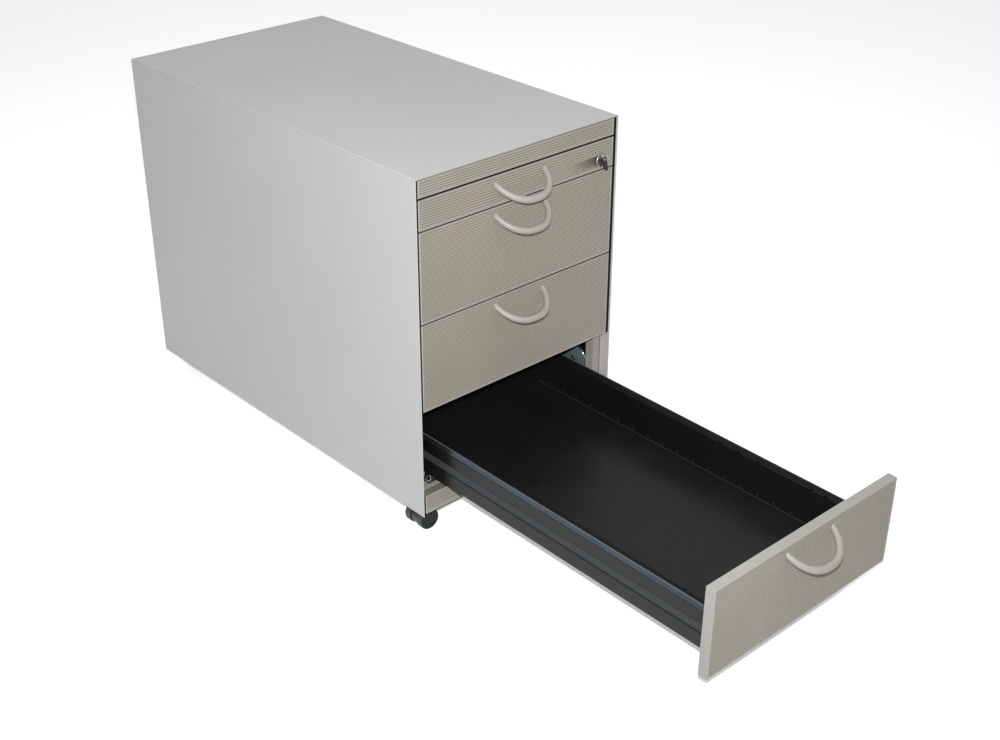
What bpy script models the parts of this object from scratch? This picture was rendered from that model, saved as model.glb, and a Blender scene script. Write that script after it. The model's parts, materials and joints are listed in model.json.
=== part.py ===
"""Mobile office drawer pedestal: a sheet-steel carcass on twin-wheel castors, with four
drawers on roller runners. The bottom drawer stands open. Metres, +Z up, front towards -Y,
origin on the floor under the middle of the whole object."""

import math

import bmesh
import bpy
from mathutils import Matrix, Vector

# ---------------------------------------------------------------- driving dimensions
GAP = 0.0003            # air left between pieces that rest on each other
SHEET = 0.0015          # carcass sheet steel
LINER = 0.0010          # drawer-box sheet steel
TOP_SHEET = 0.002       # top panel
TOP_EDGE_R = 0.0015

HALF_W = 0.210          # half the carcass width
DEPTH = 0.789           # carcass front edge to back face
HEIGHT = 0.580          # side panel's lower edge to the top
LIFT = 0.037            # side panel's lower edge above the floor
FRONT_Y = -0.0785       # carcass front edge

# drawer fronts and the two fixed ribbed panels
FRONT_HALF_W = 0.2035
FRONT_RECESS = 0.0025
FRONT_THICK = 0.0162
FRONT_EDGE_R = 0.0025
FRONT_GAP = 0.0020
UNIT_1 = 0.0489         # height of a shallow front
UNIT_3 = 0.1503         # height of a deep front
PLINTH_Z = 0.0004       # plinth panel, above the side panel's lower edge
PLINTH_H = 0.0362
FIXED_GAP = 0.0030      # between a fixed panel and the drawer front next to it
STRIP_Z = 0.5485        # fixed strip under the top
STRIP_H = 0.0271

# drawer boxes and their runners
TRAVEL = 0.5905
DROOP = 0.0135          # nose-down angle of a fully open drawer, radians
BOX_INNER_X = 0.163
BOX_OUTER_X = 0.182
BOX_BACK = 0.724        # behind the front's face
BOX_LIFT_3 = 0.0233     # box bottom above the front's lower edge, deep drawer
BOX_H_3 = 0.0679
BOX_LIFT_1 = 0.004      # the same, shallow drawer
BOX_H_1 = 0.034
RAIL_DIP = 0.0039       # inner edge of a deep box's top rail, below its ridge
BACK_WALL = 0.712       # back of the box's rear wall, behind the front's face
AXLE_BACK = 0.718       # rear roller axle, behind the front's face
AXLE_UP = 0.0048        # and above the box bottom
RAIL_X = (0.1845, 0.1917)
RAIL_HALF_H = 0.01075
RAIL_SHEET = 0.0012
RAIL_Y = (0.032, 0.764)  # from the carcass front edge
REAR_ROLLER_R = 0.0092
REAR_ROLLER_X = (0.1848, 0.1900)
FRONT_ROLLER_R = 0.0115
FRONT_ROLLER_DROP = 0.0148  # its axis below the box bottom
FRONT_ROLLER_Y = 0.0335
FRONT_ROLLER_X = (0.164, 0.174)
PIN_R = 0.003

# posts and cross rails
POST_X = (0.192, 0.2082)
POST_Y = (0.021, 0.038)
REAR_POST_Y = (0.745, 0.787)
BASE_Z = 0.008          # base plate, above the side panel's lower edge
BASE_T = 0.002
BASE_PLATE_Y = 0.0208
BASE_RAIL_TOP = 0.0376
BASE_RAIL_DEPTH = 0.007
TOP_RAIL_Z = (0.0020, 0.0240)  # above the fixed strip's lower edge
TOP_RAIL_DEPTH = 0.012
ROLLER_HEAD_R = 0.0045  # rivet head on a front roller's pin
ROLLER_HEAD = 0.0012

# handles
HANDLE_HALF = 0.0507
HANDLE_DROP = 0.0161    # end centres below the front's upper edge
HANDLE_REACH = 0.0429
HANDLE_TILT = math.radians(32.4)
HANDLE_SHAPE = 2.48     # exponents of the bow's outline
HANDLE_ROUND = 0.667
HANDLE_R_END = 0.0048
HANDLE_R_MID = 0.0061

# castors
WHEEL_R = 0.0184
WHEEL_EDGE = 0.0015
HUB_R = (0.0120, 0.0135)  # recess in a wheel's outer face
HUB_DIP = 0.0012
HOOD_R = WHEEL_R - 0.002
NECK_X = (-0.012, 0.009)
SWIVEL_R = 0.011
CLIP_R = 0.007
CLIP_T = 0.002
WHEEL_Y = (0.007, 0.022)
WEB_HALF = 0.0067
TRAIL = 0.016
CASTOR_X = 0.1723
CASTOR_Y = (0.033, 0.745)
STEM_R = 0.005
AXLE_R = 0.0027
CASTOR_TURN = {"front_left": 0, "front_right": 20, "rear_left": -150, "rear_right": -60}

# lock, key and drawer interlock
LOCK_X = 0.175
LOCK_UP = 0.0153        # lock axis above the shallow front's lower edge
CAM_REACH = 0.0212
CAM_BACK = 0.0220       # cam, behind the front's face
CAM_THICK = 0.0025
CAM_HALF = 0.003
CAM_ROOM = 0.006
CAM_SLOT_Y = (0.0235, 0.0295)
LOCK_HOLE_R = 0.0093
SLEEVE_R = (0.0073, 0.0090)
BEZEL_R = 0.0114
BEZEL_OUT = 0.0022
BEZEL_EDGE = 0.0009
PLUG_R = 0.0070
PLUG_OUT = 0.0018
PLUG_END = 0.0158
TAIL_R = 0.0050
KEYHOLE = (0.0013, 0.0033)  # half width, half height
KEYHOLE_DEPTH = 0.012
BLADE = (0.0010, 0.0030)    # half thickness, half height
BLADE_DEPTH = 0.011
KEY_OUT = 0.0080        # fold pin of the key, ahead of the front's face
KEY_UP = 0.0040         # and above the lock axis
KEY_EYE_R = 0.0024
KEY_EYE_HALF = 0.0015
KEY_PIN_R = 0.0011
KEY_PIN_HALF = 0.0045
KEY_HEAD = 0.0054       # key bow above and below its fold pin
KEY_TIP = 0.0205
KEY_R = (0.0050, 0.0032)  # rounding of the key bow's head and tip
KEY_T = 0.0015          # half its thickness
FORK_HALF = 0.0018
FORK_DEPTH = 0.0032
KEY_LEAN = math.radians(-20)
BAR_X = (0.194, 0.197)
BAR_Y = (0.0245, 0.036)
BAR_TRAVEL = 0.012
DISC_Y = 0.067
DISC_Z = 0.122
DISC_R = 0.028
DISC_X = (0.1919, 0.1937)
HUB_X = 0.1905
CRANK = 0.020
CRANK_R = 0.0020
CRANK_SLOT = 0.0028
FOOT_HALF = 0.011
SPRING_X = 0.1945
SPRING_R = 0.0009

# (name, front's lower edge above the side panel's, front height, box lift, box height, opening)
FIRST_Z = PLINTH_Z + PLINTH_H + FIXED_GAP
DRAWERS = [
    ("drawer_4", FIRST_Z, UNIT_3, BOX_LIFT_3, BOX_H_3, TRAVEL),
    ("drawer_3", FIRST_Z + UNIT_3 + FRONT_GAP, UNIT_3, BOX_LIFT_3, BOX_H_3, 0.0),
    ("drawer_2", FIRST_Z + 2 * (UNIT_3 + FRONT_GAP), UNIT_3, BOX_LIFT_3, BOX_H_3, 0.0),
    ("drawer_1", FIRST_Z + 3 * (UNIT_3 + FRONT_GAP), UNIT_1, BOX_LIFT_1, BOX_H_1, 0.0),
]
SIDES = (("left", -1), ("right", 1))
# ---------------------------------------------------------------- end of dimensions


def up(z):
    """Height above the floor of a level given from the side panel's lower edge."""
    return LIFT + z


def back(y):
    """Frame y of a distance behind the carcass front edge."""
    return FRONT_Y + y


# ---------------------------------------------------------------- materials
def material(name, look):
    """Own material for one piece, from the shared finishes below."""
    colour, roughness, metallic = FINISHES[look]
    mat = bpy.data.materials.new(name)
    mat.use_nodes = True
    shader = mat.node_tree.nodes["Principled BSDF"]
    shader.inputs["Base Color"].default_value = (*colour, 1.0)
    shader.inputs["Roughness"].default_value = roughness
    shader.inputs["Metallic"].default_value = metallic
    mat.diffuse_color = (*colour, 1.0)
    return mat


FINISHES = {
    "light_enamel": ((0.62, 0.62, 0.62), 0.45, 0.0),
    "frame_enamel": ((0.33, 0.32, 0.30), 0.50, 0.0),
    "ribbed_front": ((0.33, 0.32, 0.27), 0.55, 0.0),
    "handle_grey": ((0.42, 0.41, 0.38), 0.45, 0.0),
    "black_enamel": ((0.015, 0.016, 0.018), 0.30, 0.0),
    "zinc": ((0.55, 0.57, 0.60), 0.35, 1.0),
    "black_plastic": ((0.02, 0.024, 0.03), 0.40, 0.0),
    "tread_grey": ((0.07, 0.08, 0.085), 0.55, 0.0),
    "chrome": ((0.80, 0.80, 0.80), 0.12, 1.0),
}


# ---------------------------------------------------------------- mesh building
def new_object(name, bm):
    """Turn a bmesh into an object without a material."""
    bmesh.ops.remove_doubles(bm, verts=bm.verts, dist=1e-6)
    bmesh.ops.recalc_face_normals(bm, faces=bm.faces)
    mesh = bpy.data.meshes.new(name)
    bm.to_mesh(mesh)
    bm.free()
    obj = bpy.data.objects.new(name, mesh)
    bpy.context.scene.collection.objects.link(obj)
    return obj


def prism(outline, start, end, axis="Z", name="work"):
    """Closed solid: a 2-D outline drawn across an axis and extruded along it.
    The outline's two numbers are the other two axes in X, Y, Z order."""
    order = {"X": lambda a, b, t: (t, a, b), "Y": lambda a, b, t: (a, t, b),
             "Z": lambda a, b, t: (a, b, t)}[axis]
    bm = bmesh.new()
    low = [bm.verts.new(order(a, b, start)) for a, b in outline]
    high = [bm.verts.new(order(a, b, end)) for a, b in outline]
    bm.faces.new(low)
    bm.faces.new(high[::-1])
    for i in range(len(outline)):
        j = (i + 1) % len(outline)
        bm.faces.new((low[i], low[j], high[j], high[i]))
    return new_object(name, bm)


def block(x, y, z, name="work"):
    """Axis-aligned box from three (low, high) pairs."""
    corners = [(x[0], y[0]), (x[1], y[0]), (x[1], y[1]), (x[0], y[1])]
    return prism(corners, z[0], z[1], "Z", name)


def circle(radius, sides, centre=(0.0, 0.0)):
    return [(centre[0] + radius * math.cos(math.tau * i / sides),
             centre[1] + radius * math.sin(math.tau * i / sides)) for i in range(sides)]


def rod(radius, start, end, centre, axis, sides=20):
    """Round bar; centre is its place on the two axes it does not run along."""
    return prism(circle(radius, sides, centre), start, end, axis)


def lathe(profile, sides, axis="Y", name="work"):
    """Solid turned about an axis through the origin, from (radius, along) points."""
    bm = bmesh.new()
    turned = []
    for radius, along in profile:
        if radius == 0:
            turned.append([bm.verts.new((0, along, 0))])
        else:
            turned.append([bm.verts.new((x, along, z)) for x, z in circle(radius, sides)])
    for ring, after in zip(turned, turned[1:] + turned[:1]):
        if len(ring) == 1 and len(after) == 1:
            continue
        for i in range(sides):
            j = (i + 1) % sides
            if len(ring) == 1:
                bm.faces.new((ring[0], after[i], after[j]))
            elif len(after) == 1:
                bm.faces.new((ring[i], ring[j], after[0]))
            else:
                bm.faces.new((ring[i], ring[j], after[j], after[i]))
    if axis == "X":
        bmesh.ops.rotate(bm, verts=bm.verts, matrix=Matrix.Rotation(-math.pi / 2, 3, "Z"))
    return new_object(name, bm)


def sweep(points, radii, sides, name="work"):
    """Round tube through points, with a radius at each and closed ends."""
    bm = bmesh.new()
    rings = []
    normal = None
    for i, point in enumerate(points):
        ahead = points[min(i + 1, len(points) - 1)] - points[max(i - 1, 0)]
        ahead.normalize()
        if normal is None:
            normal = ahead.orthogonal()
        normal = (normal - ahead * normal.dot(ahead)).normalized()
        across = ahead.cross(normal)
        rings.append([bm.verts.new(point + radii[i] * (normal * c + across * s))
                      for c, s in circle(1.0, sides)])
    for ring, after in zip(rings, rings[1:]):
        for i in range(sides):
            j = (i + 1) % sides
            bm.faces.new((ring[i], ring[j], after[j], after[i]))
    bm.faces.new(rings[0][::-1])
    bm.faces.new(rings[-1])
    return new_object(name, bm)


def combine(obj, tool, operation):
    """Boolean one work solid into another; the tool is used up."""
    modifier = obj.modifiers.new("boolean", "BOOLEAN")
    modifier.operation = operation
    modifier.solver = "EXACT"
    modifier.object = tool
    evaluated = obj.evaluated_get(bpy.context.evaluated_depsgraph_get())
    mesh = bpy.data.meshes.new_from_object(evaluated)
    obj.modifiers.clear()
    obj.data = mesh
    bpy.data.objects.remove(tool)
    return obj


def union(obj, *tools):
    for tool in tools:
        combine(obj, tool, "UNION")
    return obj


def cut(obj, *tools):
    for tool in tools:
        combine(obj, tool, "DIFFERENCE")
    return obj


def mirrored(obj, side):
    """Reflect a right-hand work solid to the left when side is -1."""
    if side < 0:
        obj.data.transform(Matrix.Scale(-1, 4, (1, 0, 0)))
        obj.data.flip_normals()
    return obj


def finish(obj, name, look, origin=(0, 0, 0), parent=None, smooth_angle=35):
    """Name a work solid, give it its material, and put its origin on its joint axis.
    With a parent, the mesh keeps its place relative to the parent's own origin point."""
    obj.name = name
    obj.data.name = name
    obj.data.transform(Matrix.Translation(-Vector(origin)))
    obj.data.materials.clear()
    obj.data.materials.append(material(name, look))
    if smooth_angle:
        obj.data.shade_smooth()
        obj.data.set_sharp_from_angle(angle=math.radians(smooth_angle))
    if parent:
        obj.parent = parent
    else:
        obj.location = origin
    return obj


# ---------------------------------------------------------------- carcass
def channel(a, b, x0, x1, sheet):
    """Outline of a U channel: web along one edge, flanges running from a to b."""
    turn = sheet if b > a else -sheet
    return [(x0, a), (x1, a), (x1, b), (x1 - sheet, b), (x1 - sheet, a + turn),
            (x0 + sheet, a + turn), (x0 + sheet, b), (x0, b)]


def roller_z(drawer_z, lift):
    return up(drawer_z + lift) - FRONT_ROLLER_DROP


def side_panels():
    for side_name, side in SIDES:
        panel = block((HALF_W - SHEET, HALF_W), (back(0), back(DEPTH)),
                      (up(0), up(HEIGHT - TOP_SHEET - GAP)))
        finish(mirrored(panel, side), f"side_panel_{side_name}", "light_enamel")


def top_panel():
    """Sheet whose two long upper edges are rounded."""
    top, radius = up(HEIGHT), TOP_EDGE_R
    arc = [(HALF_W - radius + radius * math.sin(a), top - radius + radius * math.cos(a))
           for a in (math.radians(30 * i) for i in range(4))]
    outline = arc + [(HALF_W, top - TOP_SHEET), (-HALF_W, top - TOP_SHEET)]
    outline += [(-x, z) for x, z in reversed(arc)]
    finish(prism(outline, back(0), back(DEPTH), "Y"), "top_panel", "light_enamel")


def back_panel():
    panel = block((-HALF_W + SHEET + GAP, HALF_W - SHEET - GAP), (back(DEPTH - SHEET), back(DEPTH)),
                  (up(BASE_Z), up(HEIGHT - TOP_SHEET - GAP)))
    finish(panel, "back_panel", "light_enamel")


def base_plate():
    plate = block((-HALF_W + SHEET + GAP, HALF_W - SHEET - GAP),
                  (back(BASE_PLATE_Y), back(DEPTH - SHEET - GAP)), (up(BASE_Z), up(BASE_Z + BASE_T)))
    for _, side in SIDES:
        for y in CASTOR_Y:
            cut(plate, rod(STEM_R + GAP, up(0), up(0.03), (side * CASTOR_X, back(y)), "Z"))
    finish(plate, "base_plate", "frame_enamel")


def front_posts():
    """Front uprights: U channels that also carry the pins of the fixed front rollers."""
    z = (up(BASE_Z + BASE_T + GAP), up(HEIGHT - TOP_SHEET - GAP))
    outline = channel(back(POST_Y[0]), back(POST_Y[1]), *POST_X, SHEET)
    for side_name, side in SIDES:
        post = prism(outline, *z)
        for _, drawer_z, _, lift, _, _ in DRAWERS:
            centre = (back(FRONT_ROLLER_Y), roller_z(drawer_z, lift))
            inner = FRONT_ROLLER_X[0] - GAP
            union(post, rod(PIN_R, inner - ROLLER_HEAD / 2, POST_X[0] + SHEET / 2, centre, "X", 16),
                  rod(ROLLER_HEAD_R, inner - ROLLER_HEAD, inner, centre, "X", 16))
        if side > 0:
            cut(post, block((POST_X[0] - SHEET, POST_X[0] + 2 * SHEET),
                            (back(CAM_SLOT_Y[0] - GAP), back(CAM_SLOT_Y[1] + GAP)),
                            (lock_z() - CAM_ROOM, lock_z() + BAR_TRAVEL + CAM_ROOM)))
        finish(mirrored(post, side), f"front_post_{side_name}", "frame_enamel")


def rear_posts():
    z = (up(BASE_Z + BASE_T + GAP), up(HEIGHT - TOP_SHEET - GAP))
    outline = channel(back(REAR_POST_Y[1]), back(REAR_POST_Y[0]), *POST_X, SHEET)
    for side_name, side in SIDES:
        finish(mirrored(prism(outline, *z), side), f"rear_post_{side_name}", "frame_enamel")


def cross_rails():
    """Channels between the front posts, behind the fixed strip and behind the plinth."""
    half, y0, y1 = POST_X[0] - GAP, back(POST_Y[0]), back(POST_Y[0] + TOP_RAIL_DEPTH)
    z0, z1 = up(STRIP_Z + TOP_RAIL_Z[0]), up(STRIP_Z + TOP_RAIL_Z[1])
    upper = [(y0, z0), (y1, z0), (y1, z0 + SHEET), (y0 + SHEET, z0 + SHEET),
             (y0 + SHEET, z1 - SHEET), (y1, z1 - SHEET), (y1, z1), (y0, z1)]
    finish(prism(upper, -half, half, "X"), "top_front_rail", "frame_enamel")
    z0, z1 = up(BASE_Z + BASE_T + GAP), up(BASE_RAIL_TOP)
    y1 = back(POST_Y[0] + BASE_RAIL_DEPTH)
    lower = [(y0, z0), (y0 + SHEET, z0), (y0 + SHEET, z1 - SHEET), (y1, z1 - SHEET),
             (y1, z1), (y0, z1)]
    finish(prism(lower, -half, half, "X"), "base_front_rail", "frame_enamel")


def ribbed_panel(z, height):
    """Front panel blank: flat, with its two outer vertical edges rounded."""
    y0, y1 = back(FRONT_RECESS), back(FRONT_RECESS + FRONT_THICK)
    r = FRONT_EDGE_R
    arc = [(FRONT_HALF_W - r + r * math.sin(a), y0 + r - r * math.cos(a))
           for a in (math.radians(22.5 * i) for i in range(5))]
    outline = [(-x, y) for x, y in reversed(arc)] + arc
    outline += [(FRONT_HALF_W, y1), (-FRONT_HALF_W, y1)]
    return prism(outline, up(z), up(z + height))


def fixed_panels():
    finish(ribbed_panel(PLINTH_Z, PLINTH_H), "plinth_panel", "ribbed_front")
    finish(ribbed_panel(STRIP_Z, STRIP_H), "top_strip", "ribbed_front")


# ---------------------------------------------------------------- drawers and runners
def inset(outline, amount):
    """Outline moved inwards by an amount, corners mitred (counter-clockwise outline)."""
    moved = []
    for before, here, after in zip(outline[-1:] + outline[:-1], outline, outline[1:] + outline[:1]):
        a = (Vector(here) - Vector(before)).normalized()
        b = (Vector(after) - Vector(here)).normalized()
        na, nb = Vector((-a.y, a.x)), Vector((-b.y, b.x))
        mitre = na + nb
        moved.append(tuple(Vector(here) + mitre * (amount / (0.5 * mitre.length_squared))))
    return moved


def wall_outline(box_z, box_h):
    """Right-hand wall of a drawer box, seen along Y: a lower band, a sloped ledge, a web
    and a ridged top rail. A shallow box has only the band and a chamfered top."""
    x0, x1 = BOX_INNER_X, BOX_OUTER_X
    if box_h < 0.05:
        shape = [(x0, 0), (x1, 0), (x1, box_h - 0.003), (x1 - 0.003, box_h), (x0, box_h)]
    else:
        web, ridge = x1 - 0.004, x1 - 0.0066
        shape = [(x0, 0), (x1, 0), (x1, 0.0253), (web, 0.0365), (web, box_h - 0.0090),
                 (x1 - 0.0005, box_h - 0.0062), (ridge, box_h), (x0, box_h - RAIL_DIP)]
    return [(x, box_z + z) for x, z in shape]


def drawer_box(box_z, box_h):
    """Open-topped box whose side walls are folded hollow profiles, open at both ends. They run
    on past the back wall to hold the rear axle."""
    y0, y1 = back(FRONT_RECESS + FRONT_THICK + GAP), back(FRONT_RECESS + BOX_BACK)
    y_wall = back(FRONT_RECESS + BACK_WALL)
    outline = wall_outline(box_z, box_h)
    wide = BOX_INNER_X + 0.0005
    wall_top = outline[-1][1]
    box = prism(outline, y0, y1, "Y")
    union(box, mirrored(prism(outline, y0, y1, "Y"), -1),
          block((-wide, wide), (y0, y_wall), (box_z, box_z + LINER)),
          block((-wide, wide), (y0, y0 + LINER), (box_z, wall_top)),
          block((-wide, wide), (y_wall - LINER, y_wall), (box_z, wall_top)))
    for _, side in SIDES:
        hollow = prism(inset(outline, LINER), y0 - 0.001, y1 + 0.001, "Y")
        cut(box, mirrored(hollow, side))
    return box


def handle(front_top):
    """Bow handle: a round bar in a plane that tilts down, flattened at its middle."""
    root = Vector((0, back(FRONT_RECESS), front_top - HANDLE_DROP))
    out = Vector((0, -math.cos(HANDLE_TILT), -math.sin(HANDLE_TILT)))
    points, radii = [], []
    steps = 28
    for i in range(-1, steps + 2):
        s = math.cos(math.pi * min(max(i, 0), steps) / steps)
        u = math.copysign(abs(s) ** 0.8, s)
        reach = HANDLE_REACH * max(0.0, 1 - abs(u) ** HANDLE_SHAPE) ** HANDLE_ROUND
        if i in (-1, steps + 1):
            reach = -0.006
        points.append(root + Vector((u * HANDLE_HALF, 0, 0)) + out * reach)
        radii.append(HANDLE_R_MID + (HANDLE_R_END - HANDLE_R_MID) * min(1, abs(u)) ** 2)
    bow = sweep(points, radii, 12)
    face = back(FRONT_RECESS) - GAP
    return cut(bow, block((-0.08, 0.08), (face, face + 0.04), (root.z - 0.04, root.z + 0.04)))


def runner_rail(axle_z):
    """Right-hand C rail, open towards the drawer."""
    x0, x1 = RAIL_X
    t, h = RAIL_SHEET, RAIL_HALF_H
    outline = [(x1, -h), (x1, h), (x0, h), (x0, h - t), (x1 - t, h - t), (x1 - t, t - h),
               (x0, t - h), (x0, -h)]
    outline = [(x, axle_z + z) for x, z in outline]
    return prism(outline, back(RAIL_Y[0]), back(RAIL_Y[1]), "Y")


def front_roller():
    """Right-hand fixed roller, turned about X."""
    x0, x1 = FRONT_ROLLER_X
    radius, bore, edge = FRONT_ROLLER_R, PIN_R + GAP, 0.0012
    profile = [(bore, x0), (radius - edge, x0), (radius, x0 + edge),
               (radius, x1 - edge), (radius - edge, x1), (bore, x1)]
    return lathe(profile, 24, "X")


def rear_axle():
    """Cross shaft turned about X, with a roller near each end that runs inside the C rail."""
    x_in, x_out = REAR_ROLLER_X
    half = [(PIN_R, x_in), (REAR_ROLLER_R - 0.001, x_in), (REAR_ROLLER_R, x_in + 0.001),
            (REAR_ROLLER_R, x_out - 0.001), (REAR_ROLLER_R - 0.001, x_out), (0, x_out)]
    return lathe([(r, -x) for r, x in reversed(half)] + half, 20, "X")


def drawer(name, z, height, lift, box_h, opening):
    """One drawer with its rails, rollers and axles; its moving part hangs on an empty at the
    rear roller axle, pulled out and tipped nose-down in proportion to its opening."""
    box_z = up(z + lift)
    closed = Vector((0, back(FRONT_RECESS + AXLE_BACK), box_z + AXLE_UP))
    pivot = closed - Vector((0, opening, 0))
    empty = bpy.data.objects.new(f"{name}_pivot", None)
    empty.location = pivot
    empty.rotation_euler = (DROOP * opening / TRAVEL, 0, 0)
    bpy.context.scene.collection.objects.link(empty)

    box = drawer_box(box_z, box_h)
    cut(box, rod(PIN_R + GAP, -0.2, 0.2, (closed.y, closed.z), "X", 16))
    front = ribbed_panel(z, height)
    if name == "drawer_1":
        cut(box, block((BOX_OUTER_X - 3 * LINER, BOX_OUTER_X + LINER),
                       (back(CAM_SLOT_Y[0]), back(CAM_SLOT_Y[1])),
                       (lock_z() - CAM_ROOM + GAP, lock_z() + CAM_REACH + GAP)))
        cut(front, rod(LOCK_HOLE_R, back(0), back(2 * FRONT_THICK), (LOCK_X, lock_z()), "Y", 32))
    finish(box, f"{name}_box", "black_enamel", closed, empty)
    finish(front, f"{name}_front", "ribbed_front", closed, empty)
    finish(handle(up(z + height)), f"{name}_handle", "handle_grey", closed, empty)

    finish(rear_axle(), f"{name}_rear_axle", "zinc").location = pivot
    for side_name, side in SIDES:
        rail = mirrored(runner_rail(closed.z), side)
        finish(rail, f"{name}_rail_{side_name}", "zinc")
        roller = mirrored(front_roller(), side)
        finish(roller, f"{name}_front_roller_{side_name}", "black_plastic")
        roller.location = (0, back(FRONT_ROLLER_Y), roller_z(z, lift))
    return empty


# ---------------------------------------------------------------- lock and interlock
def lock_z():
    return up(DRAWERS[-1][1] + LOCK_UP)


def lock(empty):
    """Cam lock in the shallow drawer's front, with a folding key hanging from it."""
    closed = Vector((0, back(FRONT_RECESS + AXLE_BACK), up(DRAWERS[-1][1] + BOX_LIFT_1) + AXLE_UP))
    face = back(FRONT_RECESS)
    axis = Vector((LOCK_X, face, lock_z()))
    bore, shell = SLEEVE_R
    sleeve = [(bore, -BEZEL_OUT), (BEZEL_R - BEZEL_EDGE, -BEZEL_OUT), (BEZEL_R, BEZEL_EDGE - BEZEL_OUT),
              (BEZEL_R, -GAP), (shell, -GAP), (shell, PLUG_END), (bore, PLUG_END)]
    end = CAM_BACK + CAM_THICK + SHEET
    plug = [(0, -PLUG_OUT), (PLUG_R, -PLUG_OUT), (PLUG_R, PLUG_END), (TAIL_R, PLUG_END),
            (TAIL_R, end), (0, end)]
    lean = Matrix.Rotation(KEY_LEAN, 4, "Y")
    pin = Vector((0, -KEY_OUT, KEY_UP))

    def seat(obj, name, look, offset=Vector((0, 0, 0))):
        finish(obj, name, look, parent=empty)
        obj.location = axis - closed + lean @ offset

    seat(lathe(sleeve, 32), "lock_sleeve", "chrome")
    barrel = lathe(plug, 32)
    union(barrel, block((-CAM_HALF, CAM_HALF), (CAM_BACK, CAM_BACK + CAM_THICK), (0.0, CAM_REACH)))
    wide, tall = KEYHOLE
    slot = block((-wide, wide), (-2 * PLUG_OUT, KEYHOLE_DEPTH), (-tall, tall))
    slot.data.transform(lean)
    seat(cut(barrel, slot), "lock_cylinder", "zinc")

    thin, tall = BLADE
    blade = block((-thin, thin), (pin.y + 0.0020, BLADE_DEPTH), (-tall, tall))
    union(blade, block((-thin, thin), (pin.y, pin.y + 0.0030), (thin, pin.z + KEY_PIN_R)),
          rod(KEY_EYE_R, -KEY_EYE_HALF, KEY_EYE_HALF, (pin.y, pin.z), "X", 16),
          rod(KEY_PIN_R, -KEY_PIN_HALF, KEY_PIN_HALF, (pin.y, pin.z), "X", 12))
    blade.data.transform(lean)
    seat(blade, "key_blade", "zinc")

    head_r, tip_r = KEY_R
    arcs = [(head_r, KEY_HEAD - head_r, 0), (tip_r, tip_r - KEY_TIP, 180)]
    outline = [(r * math.cos(math.radians(start + 20 * i)), z + r * math.sin(math.radians(start + 20 * i)))
               for r, z, start in arcs for i in range(10)]
    bow = prism(outline, -KEY_T, KEY_T, "Y")
    cut(bow, block((-FORK_HALF, FORK_HALF), (-2 * KEY_T, 2 * KEY_T), (-FORK_DEPTH, 2 * KEY_HEAD)),
        rod(KEY_PIN_R + GAP, -head_r * 2, head_r * 2, (0, 0), "X", 12))
    bow.data.transform(lean)
    seat(bow, "key_bow", "black_plastic", pin)


def interlock():
    """Lock bar in the right front post, the cam disc it turns, and the disc's wire spring."""
    foot_z = up(DISC_Z)
    crank_y = back(DISC_Y - CRANK)
    bar = block(BAR_X, (back(BAR_Y[0]), back(BAR_Y[1])), (foot_z - FOOT_HALF - 0.001, lock_z() + 0.008))
    union(bar, block(BAR_X, (back(BAR_Y[0] + 0.001), back(DISC_Y - 0.009)),
                     (foot_z - FOOT_HALF, foot_z + FOOT_HALF)))
    cut(bar, block((BAR_X[0] - SHEET, BAR_X[1] + SHEET), (crank_y - 0.0035, crank_y + 0.0075),
                   (foot_z - CRANK_SLOT, foot_z + CRANK_SLOT)))
    finish(bar, "lock_bar", "zinc")

    centre = (back(DISC_Y), foot_z)
    disc = rod(DISC_R, *DISC_X, centre, "X", 40)
    union(disc, rod(2 * CRANK_R, HUB_X, HALF_W - SHEET - GAP, centre, "X", 16),
          rod(CRANK_R, sum(DISC_X) / 2, BAR_X[1] + SHEET, (crank_y, foot_z), "X", 12))
    finish(disc, "interlock_disc", "zinc", (0, *centre))

    route = [(-0.030, 0.030), (-0.012, 0.042), (0.004, 0.036), (0.020, 0.040), (0.030, 0.030)]
    wire = [Vector((SPRING_X, centre[0] + y, centre[1] + z)) for y, z in route]
    spring = sweep(wire, [SPRING_R] * len(wire), 8)
    finish(spring, "interlock_spring", "zinc")


# ---------------------------------------------------------------- castors
def castor(name, x, y, turn):
    """Twin-wheel castor: swivelling body with web and stem, and two wheels on one axle."""
    swivel = bpy.data.objects.new(f"castor_{name}_swivel", None)
    swivel.location = (x, y, 0)
    swivel.rotation_euler = (0, 0, math.radians(turn))
    bpy.context.scene.collection.objects.link(swivel)

    axle = (-TRAIL, WHEEL_R)
    plate_top = up(BASE_Z + BASE_T)
    body = rod(HOOD_R, -WEB_HALF, WEB_HALF, axle, "Y", 32)
    union(body, block(NECK_X, (-WEB_HALF, WEB_HALF), (HOOD_R, up(0.003))),
          rod(SWIVEL_R, up(0.0008), up(BASE_Z) - GAP, (0, 0), "Z", 24),
          rod(STEM_R, up(0.004), plate_top + 3 * CLIP_T, (0, 0), "Z", 20),
          rod(CLIP_R, plate_top + GAP, plate_top + CLIP_T, (0, 0), "Z", 20))
    cut(body, rod(AXLE_R + GAP, -TRAIL, TRAIL, axle, "Y", 16))
    finish(body, f"castor_{name}_body", "black_plastic", parent=swivel)

    w0, w1 = WHEEL_Y
    half = [(AXLE_R, w0), (WHEEL_R - WHEEL_EDGE, w0), (WHEEL_R, w0 + WHEEL_EDGE),
            (WHEEL_R, w1 - WHEEL_EDGE), (WHEEL_R - WHEEL_EDGE, w1), (HUB_R[1], w1),
            (HUB_R[0], w1 - HUB_DIP), (0, w1 - HUB_DIP)]
    wheels = lathe([(r, -y) for r, y in reversed(half)] + half, 36)
    finish(wheels, f"castor_{name}_wheels", "tread_grey", parent=swivel)
    wheels.location = (-TRAIL, 0, WHEEL_R)


def castors():
    for end, y in zip(("front", "rear"), CASTOR_Y):
        for side_name, side in SIDES:
            name = f"{end}_{side_name}"
            castor(name, side * CASTOR_X, back(y), CASTOR_TURN[name])


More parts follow.
